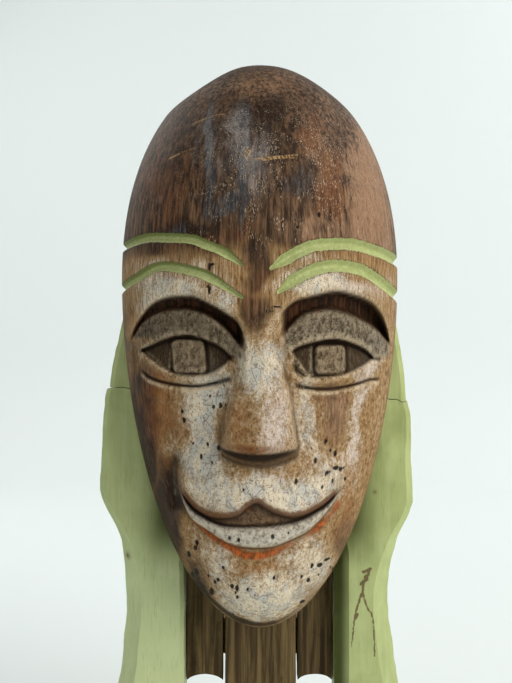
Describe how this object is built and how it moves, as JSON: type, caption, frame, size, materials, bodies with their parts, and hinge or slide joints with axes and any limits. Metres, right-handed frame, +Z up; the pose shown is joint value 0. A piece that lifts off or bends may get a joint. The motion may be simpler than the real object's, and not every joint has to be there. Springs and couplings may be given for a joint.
{
  "type": "carved wooden mask",
  "caption": "Egg-shaped carved wooden face with painted brow grooves, hollow behind, screwed to two painted side posts with boards and battens between them",
  "frame": {"origin": "on the table, under the middle of the bounding box", "axes": "+X to the right as the face is seen from its front, -Y towards the viewer, +Z up"},
  "size_m": [0.2, 0.1412, 0.4575],
  "materials": {
    "face_wood": "worn dark varnish with rubbed whitewash",
    "green_paint": "hand-brushed satin olive green paint",
    "board_wood": "dark stained, rough",
    "batten_wood": "bare, rough sawn",
    "dowel_wood": "bare, smooth",
    "screw_steel": "yellow passivated",
    "hanger_steel": "plated, slightly dull"
  },
  "bodies": {
    "mask": {"carved_face": "face_wood", "left_post": "green_paint", "left_upper_block": "green_paint", "left_post_dowel": "dowel_wood", "right_post": "green_paint", "right_upper_block": "green_paint", "right_post_dowel": "dowel_wood", "left_board": "board_wood", "centre_board": "board_wood", "right_board": "board_wood", "upper_batten": "batten_wood", "lower_batten": "batten_wood", "upper_batten_screw_1": "screw_steel", "upper_batten_screw_2": "screw_steel", "upper_batten_screw_3": "screw_steel", "upper_batten_screw_4": "screw_steel", "upper_batten_screw_5": "screw_steel", "lower_batten_screw_1": "screw_steel", "lower_batten_screw_2": "screw_steel", "lower_batten_screw_3": "screw_steel", "lower_batten_screw_4": "screw_steel", "lower_batten_screw_5": "screw_steel", "face_screw_upper_left": "screw_steel", "face_screw_upper_right": "screw_steel", "face_screw_lower_left": "screw_steel", "face_screw_lower_right": "screw_steel", "hanger_plate": "hanger_steel", "hanger_screw_upper": "screw_steel", "hanger_screw_lower": "screw_steel"},
    "ring": {"hanger_ring": "hanger_steel"}
  },
  "joints": [
    {"name": "ring_swing", "type": "hinge", "parent": "mask", "child": "ring", "pos_m": [0.0007, 0.06151, 0.341], "axis": [1, 0, 0], "range_deg": [0, 175]}
  ]
}
